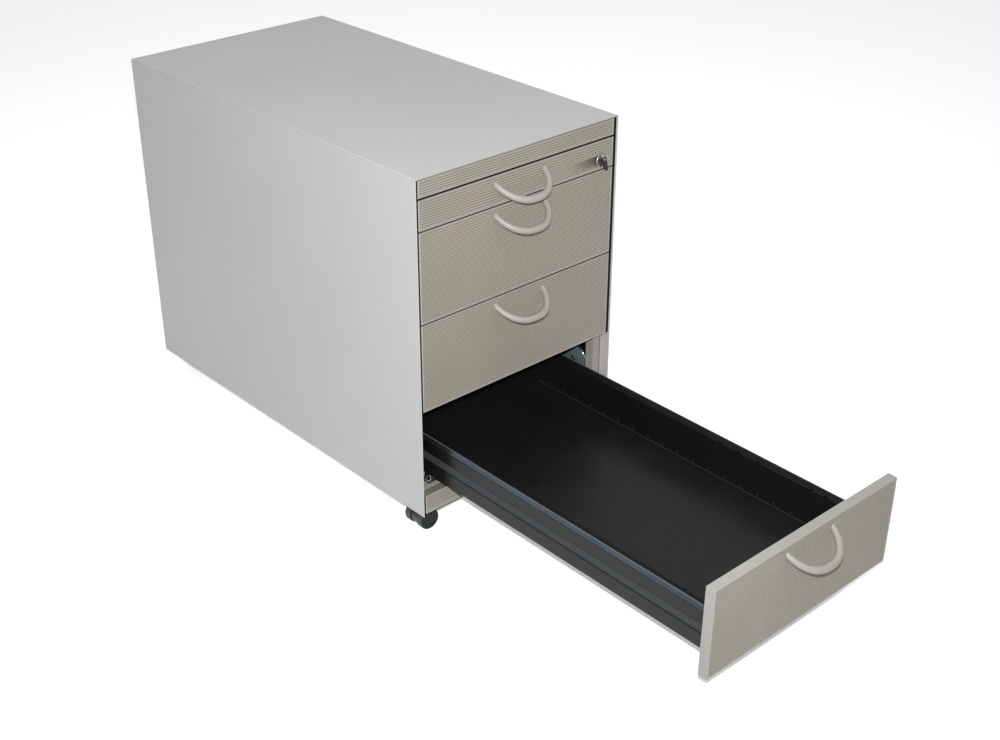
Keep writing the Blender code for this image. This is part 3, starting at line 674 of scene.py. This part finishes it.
def ribbed_mesh(lo, hi, lip=0.0):
    """Closed panel with horizontal ribs on its face, inside a smooth rounded border. A lip
    leaves a smooth band and a groove along its lower edge. Smooth faces carry material 1,
    the valleys between ribs 2 (painted shade with some dirt), and a panel with a lip has 3 on
    top and 4 along its lower edge, both painted shade."""
    r, back, edge = PANEL_EDGE_R, hi.y, hi.x - RIB_BORDER
    # half an outline: x, y and whether the point carries the ribs (None for the back)
    quarter = [ARC_TURN * i for i in range(7)]
    half = [(0.0, lo.y, 1), (edge / 2, lo.y, 1), (edge - RIB_FADE, lo.y, 1), (edge, lo.y, 0)]
    half += [(hi.x - r + r * math.sin(a), lo.y + r - r * math.cos(a), 0) for a in quarter]
    half += [(hi.x, back, None)]
    outline = [(-x, y, carries) for x, y, carries in half[:0:-1]] + half

    low = lo.z + (lip + LIP_GROOVE if lip else RIB_LOW)
    high = hi.z - PANEL_ROUND
    count = round((high - low) / RIB_PITCH)
    pitch = (high - low) / count
    curve = [(PANEL_ROUND * (1 - math.cos(a)), PANEL_ROUND * (1 - math.sin(a)))
             for a in (ROUND_TURN * i for i in range(5))]
    scale = LIP_ROUND if lip else 1
    # each level: height, set back by the rounding, depth of a rib there, smooth or not
    levels = [(lo.z + up * scale, back_off * scale, 0.0, 1) for up, back_off in curve]
    if lip:
        levels += [(lo.z + LIP_SHADOW, 0.0, 0.0, 1), (lo.z + lip - LIP_STEP, 0.0, 0.0, 1),
                   (lo.z + lip, 0.0, LIP_GROOVE, 1)]
    first = len(levels)
    levels += [(low + pitch * (k + i / RIB_STEPS), 0.0, rib_inset(i / RIB_STEPS), 0)
               for k in range(count) for i in range(RIB_STEPS)]
    levels += [(hi.z - up, back_off, 0.0, 1) for up, back_off in curve[::-1]]

    bm = bmesh.new()
    rows = [[bm.verts.new((x, y if carries is None else min(back, y + back_off + rib * carries), z))
             for x, y, carries in outline] for z, back_off, rib, _ in levels]
    for k, (below, above) in enumerate(zip(rows, rows[1:])):
        for i in range(len(outline)):
            j = (i + 1) % len(outline)
            face = bm.faces.new((below[i], below[j], above[j], above[i]))
            ribbed = outline[i][2] and outline[j][2] and not levels[k][3]
            # Valley faces take the darker valley finish: painted shade in the grooves, with some
            # dirt.
            valley = (k - first) % RIB_STEPS in (0, RIB_STEPS - 1)
            face.material_index = (2 if valley else 0) if ribbed else 1
            # The lip's lowest band takes the dark underside finish, painted shade under the plinth.
            if lip and k < len(curve):
                face.material_index = 4
    # A lip panel's top cap takes painted shade, and its bottom cap the dark underside finish.
    for cap, plain in ((rows[0][::-1], 4), (rows[-1], 3)):
        bm.faces.new(cap).material_index = plain if lip else 1
    panel = new_piece("work", bm, RIBBED, SHARP_PANEL)
    for other in PANEL_OTHERS:
        panel.data.materials.append(other)
    return panel


# ---------------------------------------------------------------- drawers
LEVEL = 0.005  # a drawer that tips less than this at rest stands level, in radians


def drawer_place(name):
    """Where a drawer's own frame sits: its origin on the rear axle, tipped as it stands.
    Also the name of a drawer of the same size that stands level, to take the sizes from."""
    joint = JOINTS[f"{name}_droop"]
    tilt = -math.radians(joint["range_deg"][0])
    if tilt < LEVEL:
        tilt = 0.0
    pivot = Vector(joint["pos_m"])
    like = name if tilt == 0 else "drawer_3"
    return Matrix.Translation(pivot) @ Matrix.Rotation(tilt, 4, "X"), like


def local_box(node, like):
    """A level drawer node's corners, relative to that drawer's axle."""
    origin = Vector(JOINTS[f"{like}_droop"]["pos_m"])
    lo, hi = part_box(node)
    return lo - origin, hi - origin


def wall_outline(z, height, outer, rounded=True):
    """Right-hand wall of a drawer box seen along Y, as (x, height, fold radius) corners: the
    lower band, ledge, web and ridged top rail. The rounded one has its folds and the pressed
    grooves above and below the ledge; the plain one is the shape without them."""
    inner, web, ridge = outer - WALL, outer - WEB_IN, outer - RIDGE_IN
    if height < SHALLOW:
        corners = [(inner, 0, 0), (outer, 0, FOLD_R), (outer, height - 0.003, 0.002),
                   (outer - 0.003, height, 0.002), (inner, height, FOLD_R)]
    elif rounded:
        corners = [(inner, 0, 0), (outer, 0, FOLD_R), (outer, 0.0242, 0.0008),
                   (outer - GROOVE, 0.0250, 0), (outer - GROOVE, 0.0264, 0),
                   (outer - 0.0006, 0.0272, 0.0006), (web, 0.0354, 0.0008),
                   (web - GROOVE, 0.0361, 0), (web - GROOVE, 0.0375, 0), (web, 0.0384, 0.0006),
                   (web, height - 0.0100, 0), (web - GROOVE, height - 0.0092, 0),
                   (web - GROOVE, height - 0.0080, 0), (outer - 0.0005, height - 0.0060, 0.0008),
                   (ridge + 0.0010, height - 0.0007, 0.0008), (ridge, height, 0.0008),
                   (ridge - 0.0010, height - 0.0008, 0.0008), (inner, height - RAIL_DIP, 0.0010)]
    else:
        corners = [(inner, 0, 0), (outer, 0, 0), (outer, 0.0253, 0), (web, 0.0365, 0),
                   (web, height - 0.0090, 0), (outer - 0.0005, height - RAIL_SLOPE, 0),
                   (ridge, height, 0), (inner, height - RAIL_DIP, 0)]
    points = [(x, z + up) for x, up, _ in corners]
    return fillet(points, [radius for _, _, radius in corners]) if rounded else points


def inset(outline, amount):
    """Outline moved inwards by an amount (counter-clockwise outline)."""
    moved = []
    for before, here, after in zip(outline[-1:] + outline[:-1], outline, outline[1:] + outline[:1]):
        a = (Vector(here) - Vector(before)).normalized()
        b = (Vector(after) - Vector(here)).normalized()
        mitre = Vector((-a.y - b.y, a.x + b.x))
        moved.append(tuple(Vector(here) + mitre * (amount / (0.5 * mitre.length_squared))))
    return moved


def lock_axis():
    """The lock's axis, relative to the axle of the drawer it is in."""
    return Vector(JOINTS["lock_turn"]["pos_m"]) - Vector(JOINTS["drawer_1_droop"]["pos_m"])


def cam_slot(outer):
    """Opening in the shallow box's right wall that the lock's cam swings through."""
    barrel = lock_axis()
    return block((outer - 3 * LINER, outer + LINER),
                 (barrel.y + CAM_SLOT_Y[0], barrel.y + CAM_SLOT_Y[1]),
                 (barrel.z - CAM_SLOT_Z[0], barrel.z + CAM_SLOT_Z[1]))


def paint_wall(box, z0, hi):
    """Material numbers of a deep box, painted light and shade on the black enamel: 1 the rail's
    inner slope in painted shade, 2 its outer slope with a painted bluish sheen, 3 the ridge with
    a painted highlight, 4 the ledge painted lighter as if lit, 5 the upright bands in painted
    shade."""
    ridge = hi.x - RIDGE_IN
    for face in box.data.polygons:
        x, z = abs(face.center.x), face.center.z
        outward = math.copysign(1.0, face.center.x) * face.normal.x
        if x < hi.x - WALL + 0.0005 or outward < -UPRIGHT:
            continue
        if z > hi.z - RIDGE_HALF and abs(x - ridge) < RIDGE_HALF:
            face.material_index = 3
        elif z > hi.z - RAIL_DIP - 0.0008 and x < ridge and face.normal.z > 0.5:
            face.material_index = 1
        elif z > hi.z - RAIL_SLOPE and outward > SLOPING:
            face.material_index = 2
        elif LEDGE_BAND[0] < z - z0 < LEDGE_BAND[1] and outward > SLOPING and face.normal.z > 0.1:
            face.material_index = 4
        elif outward > UPRIGHT:
            face.material_index = 5


def drawer_box(name, place, like):
    """Folded sheet box: hollow walls, floor, front and back, with a row of spot welds along
    the floor flange and slots in the inner edge of the top rails."""
    lo, hi = local_box(f"{like}_box", like)
    height = hi.z - lo.z
    y0, y1 = lo.y, hi.y
    inner = hi.x - WALL
    deep = height > SHALLOW
    wall_top = hi.z - (RAIL_DIP if deep else 0)
    plain = inset(wall_outline(lo.z, height, hi.x, False), LINER + (GROOVE if deep else 0))
    walls = []
    for _, side in SIDES:
        wall = prism(wall_outline(lo.z, height, hi.x), y0, y1, "Y")
        tools = [prism(plain, y0 - 0.001, y1 + 0.001, "Y"),
                 rod(PIN_R + GAP, *AXLE_BORE, (0, 0), "X", 24)]
        if deep:
            tools += [block((inner - SLOT_ACROSS[0], inner + SLOT_ACROSS[1]),
                            (y0 + y - SLOT_HALF, y0 + y + SLOT_HALF),
                            (wall_top - SLOT_TALL[0], wall_top + SLOT_TALL[1])) for y in RAIL_SLOTS]
        elif side > 0 and name == "drawer_1":
            tools.append(cam_slot(hi.x))
        walls.append(mirrored(cut(wall, *tools), side))
    wide = inner + TRAY_LAP
    tray = [block((-wide, wide), (y0, BOX_REAR), (lo.z, lo.z + LINER)),
            block((-wide, wide), (y0, y0 + LINER), (lo.z, wall_top)),
            block((-wide, wide), (BOX_REAR - LINER, BOX_REAR), (lo.z, wall_top))]
    box = even_shading(join(walls + tray), SHARP_BOX)
    # paint_wall lays the painted light, sheen, highlight and shade onto the deep box's walls
    if deep:
        paint_wall(box, lo.z, hi)
    dress(box, f"{name}_box_folded", BLACK, "black_enamel", name, f"{name}_box", place=place,
          others=(RAIL_INSIDE_SHADE, RAIL_SLOPE_SHEEN, RIDGE_HIGHLIGHT, LEDGE_LIT, WALL_SIDE_SHADE))

    floor = lo.z + LINER
    flange = [block((side * (inner - FLANGE_WIDE), side * inner),
                    (y0 + FLANGE_END, BOX_REAR - FLANGE_END),
                    (floor, floor + FLANGE_THICK)) for _, side in SIDES]
    for i in range(WELDS):
        y = y0 + WELD_END + (BOX_REAR - y0 - 2 * WELD_END) * i / (WELDS - 1)
        flange += [rod(WELD_R, side * (inner - WELD_PROUD), side * inner, (y, floor + WELD_UP),
                       "X", 12) for _, side in SIDES]
    dress(join(flange), f"{name}_box_flange", SEAM, "black_enamel", name, f"{name}_box",
          place=place)


def handle(name, place, like):
    """Bow handle: a tapered round bar on a flat super-elliptic curve that hangs out from the
    front, spaced evenly along its length and cut flush with the front's face."""
    lo, hi = local_box(f"{like}_front", like)
    root = Vector((0, lo.y, hi.z - HANDLE_DROP))
    out = Vector((0, -math.cos(HANDLE_TILT), -math.sin(HANDLE_TILT)))
    fine = [-1 + 2 * i / HANDLE_SAMPLES for i in range(HANDLE_SAMPLES + 1)]
    line = [root + Vector((u * HANDLE_HALF, 0, 0))
            + out * HANDLE_REACH * (1 - abs(u) ** HANDLE_SHAPE) ** HANDLE_ROUND for u in fine]
    points, radii = [], []
    travelled, step = 0.0, 0.0
    for i, point in enumerate(line):
        travelled += (point - line[i - 1]).length if i else 0.0
        if travelled >= step:
            points.append(point)
            radii.append(HANDLE_R_MID + (HANDLE_R_END - HANDLE_R_MID) * fine[i] ** 2)
            step = travelled + HANDLE_STEP
    for end, inner in ((0, 1), (-1, -2)):
        beyond = points[end] + (points[end] - points[inner]).normalized() * HANDLE_SUNK
        points.insert(0 if end == 0 else len(points), beyond)
        radii.insert(0 if end == 0 else len(radii), HANDLE_R_END)
    bow = sweep(points, radii, 28)
    wide, tall = HANDLE_TRIM
    cut(bow, block((-wide, wide), (root.y - GAP / 2, root.y + tall),
                   (root.z - tall, root.z + tall)))
    bow.data.shade_smooth()
    bow.data.set_sharp_from_angle(angle=math.radians(SHARP_SOFT))
    dress(bow, f"{name}_handle_bow", HANDLE, "handle_grey", name, f"{name}_handle", place=place)


def drawers():
    """The four drawers, and the two fixed panels that share the fronts' ribs."""
    for name in DRAWERS:
        place, like = drawer_place(name)
        drawer_box(name, place, like)
        handle(name, place, like)
        lo, hi = local_box(f"{like}_front", like)
        front = ribbed_mesh(lo, hi)
        if name == "drawer_1":
            barrel = lock_axis()
            cut(front, rod(LOCK_HOLE_R, lo.y - 0.01, hi.y + 0.01, (barrel.x, barrel.z), "Y", 48))
        dress(front, f"{name}_front_ribbed", RIBBED, "ribbed_front", name, f"{name}_front",
              place=place, others=PANEL_OTHERS)
        refine(f"{name}_rear_axle", ZINC, "zinc", width=0.0003)
        for side_name, _ in SIDES:
            refine(f"{name}_rail_{side_name}", ZINC, "zinc", width=0.0003)
            front_roller(f"{name}_front_roller_{side_name}")
    for node, lip in (("plinth_panel", PLINTH_LIP), ("top_strip", 0.0)):
        lo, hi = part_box(node)
        dress(ribbed_mesh(lo, hi, lip), f"{node}_ribbed", RIBBED, "ribbed_front", "carcass", node,
              others=PANEL_OTHERS)


def front_roller(node):
    """Black roller with a thin white ring let into each face."""
    lo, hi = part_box(node)
    centre = (lo + hi) / 2
    half, radius = (hi.x - lo.x) / 2, (hi.z - lo.z) / 2
    bore, dish = ROLLER_BORE_R, half - ROLLER_DISH
    tyre = [(bore, -dish), (radius * 0.60, -dish), (radius * 0.66, -half), (radius - 0.0014, -half),
            (radius - 0.0004, -half + 0.0006), (radius, -half + 0.0018), (radius, half - 0.0018),
            (radius - 0.0004, half - 0.0006), (radius - 0.0014, half), (radius * 0.66, half),
            (radius * 0.60, dish), (bore, dish)]
    ring = [(radius * 0.68, half - RING_LOW), (radius * 0.70, half + RING_PROUD),
            (radius * 0.80, half + RING_PROUD), (radius * 0.82, half - RING_LOW)]
    place = Matrix.Translation(centre)
    dress(lathe(tyre, 48), f"{node}_tyre", PLASTIC, "black_plastic", body_of(node), node,
          place=place)
    rings = [mirrored(lathe(ring, 48), turn) for turn in (1, -1)]
    dress(join(rings), f"{node}_rings", NYLON, "handle_grey", body_of(node), node, place=place)


# ---------------------------------------------------------------- lock, key, interlock
def lock():
    """Satin metal lock with a black key in it."""
    refine("lock_sleeve", SATIN, "chrome", segments=3)
    refine("lock_cylinder", SATIN, "zinc", width=0.0003)
    refine("key_blade", SATIN, "zinc", width=0.0002)
    refine("key_bow", KEY_BLACK, "black_plastic", width=0.0006, segments=3)


def interlock():
    """Passivated cam disc, slightly domed, on a brass pin, with a bright wire round its rim."""
    refine("lock_bar", ZINC, "zinc", width=0.0003)
    lo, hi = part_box("interlock_disc")
    pivot = Vector(JOINTS["interlock_turn"]["pos_m"])
    radius = (hi.z - lo.z) / 2
    face = lo.x + DISC_FACE
    dome = [(0, face - 0.0006), (radius * 0.2, face - 0.0005), (radius * 0.55, face),
            (radius * 0.93, face + 0.0012), (radius, face + 0.0020), (radius, face + 0.0030),
            (0, face + 0.0030)]
    place = Matrix.Translation((0, pivot.y, pivot.z))
    dress(lathe(dome, 64), "interlock_disc_domed", PASSIVATED, "zinc", "interlock_disc",
          "interlock_disc", place=place)
    collar = [(0.0024, lo.x + 0.0004), (0.0046, lo.x + 0.0004), (0.0050, face), (0.0024, face)]
    dress(lathe(collar, 32), "interlock_disc_collar", PLASTIC, "black_plastic",
          "interlock_disc", "interlock_disc", place=place)
    pin = [(0, lo.x), (0.0018, lo.x), (0.0023, lo.x + 0.0005), (0.0023, hi.x), (0, hi.x)]
    dress(lathe(pin, 32), "interlock_disc_pin", BRASS, "zinc", "interlock_disc",
          "interlock_disc", place=place)
    reach = radius + WIRE_OFF
    arc = [Vector((face + 0.0004, pivot.y - reach * math.cos(a), pivot.z + reach * math.sin(a)))
           for a in (math.radians(WIRE_FROM + WIRE_TURN * i) for i in range(WIRE_POINTS))]
    arc += [arc[-1] + Vector(step) for step in WIRE_TAIL]
    dress(sweep(arc, [WIRE_R] * len(arc), 12), "interlock_spring_wire", CHROME, "zinc",
          "carcass", "interlock_spring")


# ---------------------------------------------------------------- castors
def castors():
    """Dark hood and wheel faces, with a lighter grey tread."""
    for end in ("front", "rear"):
        for side_name, _ in SIDES:
            name = f"castor_{end}_{side_name}"
            axis = Vector(JOINTS[f"{name}_roll"]["axis"])
            refine(f"{name}_body", PLASTIC, "black_plastic", width=0.0012, segments=3)
            refine(f"{name}_wheels", TREAD, "tread_grey", width=0.0008, segments=3,
                   other=WHEEL_FACE,
                   facing=lambda face, axis=axis: abs(face.normal.dot(axis)) > 0.5)


# ---------------------------------------------------------------- floor, light, camera
def studio():
    """Pale floor that glows a little, and an even sky."""
    floor = block((-FLOOR_HALF, FLOOR_HALF), (-FLOOR_HALF, FLOOR_HALF), (-0.02, 0.0))
    finish = Finish("floor_finish")
    finish.colour(finish.mix(finish.spread(finish.noise(1.2, 4.0), 0, 1), *FLOOR_TONES))
    finish.roughness(finish.spread(finish.noise(5.0), 0.75, 0.85))
    finish.shader.inputs["Emission Color"].default_value = (1.0, 1.0, 1.0, 1.0)
    finish.shader.inputs["Emission Strength"].default_value = FLOOR_GLOW
    floor.name = "floor"
    floor.visible_diffuse = False
    floor.data.materials.append(finish.mat)

    world = bpy.data.worlds.new("studio")
    bpy.context.scene.world = world
    world.use_nodes = True
    sky = world.node_tree.nodes["Background"]
    sky.inputs["Color"].default_value = SKY
    sky.inputs["Strength"].default_value = SKY_STRENGTH
    bpy.context.scene.view_settings.view_transform = "Standard"


def area_light(name, place, target, size, power, colour, along=(1.0, 0.0, 0.0)):
    """Rectangular soft light whose long side lies along a direction."""
    light = bpy.data.lights.new(name, "AREA")
    light.shape = "RECTANGLE"
    light.size, light.size_y = size
    light.energy = power
    light.color = colour
    obj = bpy.data.objects.new(name, light)
    back = (Vector(place) - Vector(target)).normalized()
    long_side = (Vector(along) - back * back.dot(Vector(along))).normalized()
    axes = Matrix((long_side, back.cross(long_side), back)).transposed()
    obj.matrix_world = Matrix.Translation(place) @ axes.to_4x4()
    bpy.context.scene.collection.objects.link(obj)


def spot_light(name, place, target, cone, power, colour):
    """Small flash that falls off softly away from its axis."""
    light = bpy.data.lights.new(name, "SPOT")
    light.spot_size = cone
    light.spot_blend = 1.0
    light.shadow_soft_size = FLASH_SIZE
    light.energy = power
    light.color = colour
    obj = bpy.data.objects.new(name, light)
    obj.location = place
    obj.rotation_euler = (Vector(target) - Vector(place)).to_track_quat("-Z", "Y").to_euler()
    bpy.context.scene.collection.objects.link(obj)


def camera():
    """Camera before the left front corner, the flash above it, and two soft lights."""
    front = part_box("side_panel_left")[0].y
    cam = bpy.data.cameras.new("camera")
    cam.lens = LENS
    cam.shift_x, cam.shift_y = SHIFT
    cam.clip_start = 0.05
    obj = bpy.data.objects.new("camera", cam)
    obj.location = Vector((0, front, 0)) + Vector(CAMERA_PLACE)
    obj.rotation_euler = Euler([math.radians(angle) for angle in CAMERA_TURN])
    bpy.context.scene.collection.objects.link(obj)
    bpy.context.scene.camera = obj
    bpy.context.view_layer.update()
    flash = obj.matrix_world @ Vector((0.0, FLASH_ABOVE, 0.0))
    spot_light("flash", flash, (0, front, FLASH_AIM_Z), math.radians(FLASH_CONE), FLASH_POWER,
               FLASH_TINT)
    area_light("overhead", OVERHEAD_PLACE, OVERHEAD_AIM, OVERHEAD_SIZE, OVERHEAD_POWER,
               OVERHEAD_TINT)
    area_light("window", WINDOW_PLACE, WINDOW_AIM, WINDOW_SIZE, WINDOW_POWER, WINDOW_TINT,
               WINDOW_ALONG)


carcass()
drawers()
lock()
interlock()
castors()
studio()
camera()
